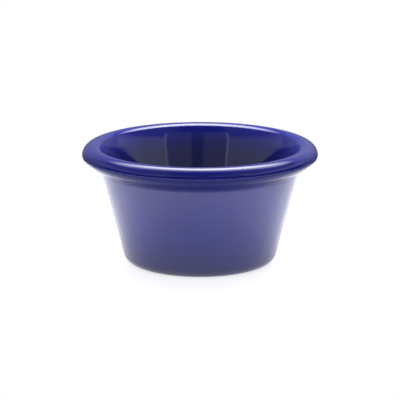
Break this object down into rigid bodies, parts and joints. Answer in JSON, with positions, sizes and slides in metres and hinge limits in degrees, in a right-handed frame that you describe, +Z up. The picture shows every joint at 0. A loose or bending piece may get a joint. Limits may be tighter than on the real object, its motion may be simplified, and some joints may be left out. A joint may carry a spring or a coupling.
{
  "type": "ramekin",
  "caption": "Small round moulded ramekin with a tapered wall, a full rounded rim and a foot ring, for a sauce, dip or single portion.",
  "frame": {"origin": "middle of the foot ring's lower face, on the surface that the ramekin stands on", "axes": "+Z up along the ramekin's own axis, out of its mouth; X and Y level, and alike because it is round"},
  "size_m": [0.084, 0.084, 0.0427],
  "materials": {
    "moulded_body": "satin",
    "gloss_film": "polished"
  },
  "bodies": {
    "root": {"moulded_body": "moulded_body", "gloss_film": "gloss_film"}
  },
  "joints": []
}
